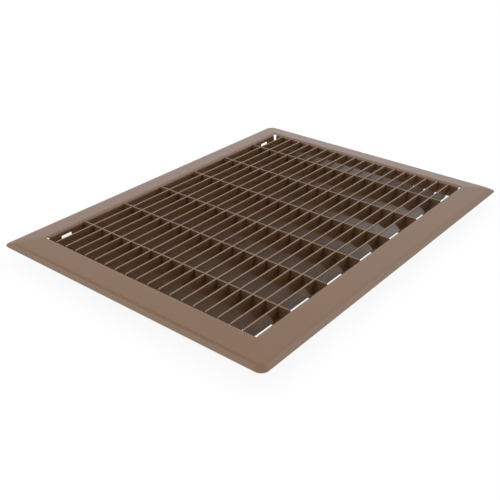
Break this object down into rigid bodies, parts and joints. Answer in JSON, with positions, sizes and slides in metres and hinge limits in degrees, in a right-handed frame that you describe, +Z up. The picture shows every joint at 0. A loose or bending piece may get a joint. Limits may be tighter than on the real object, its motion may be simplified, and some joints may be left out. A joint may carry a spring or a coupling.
{
  "type": "floor return air grille",
  "caption": "Rectangular brown steel floor return air grille: a pressed frame with a sloped flange and a short neck, filled by straight upright blades interlocked with deeper cross bars.",
  "frame": {"origin": "on the floor plane under the flange's rim, at the centre of the opening", "axes": "+X along the blades, +Y across them, +Z up out of the floor"},
  "size_m": [0.397, 0.297, 0.0209],
  "materials": {
    "frame_enamel": "satin",
    "strip_enamel": "satin"
  },
  "bodies": {
    "root": {"frame": "frame_enamel", "blade_01": "strip_enamel", "blade_02": "strip_enamel", "blade_03": "strip_enamel", "blade_04": "strip_enamel", "blade_05": "strip_enamel", "blade_06": "strip_enamel", "blade_07": "strip_enamel", "blade_08": "strip_enamel", "blade_09": "strip_enamel", "blade_10": "strip_enamel", "blade_11": "strip_enamel", "blade_12": "strip_enamel", "blade_13": "strip_enamel", "blade_14": "strip_enamel", "blade_15": "strip_enamel", "blade_16": "strip_enamel", "blade_17": "strip_enamel", "blade_18": "strip_enamel", "cross_bar_1": "strip_enamel", "cross_bar_2": "strip_enamel", "cross_bar_3": "strip_enamel", "cross_bar_4": "strip_enamel", "cross_bar_5": "strip_enamel", "cross_bar_6": "strip_enamel"}
  },
  "joints": []
}
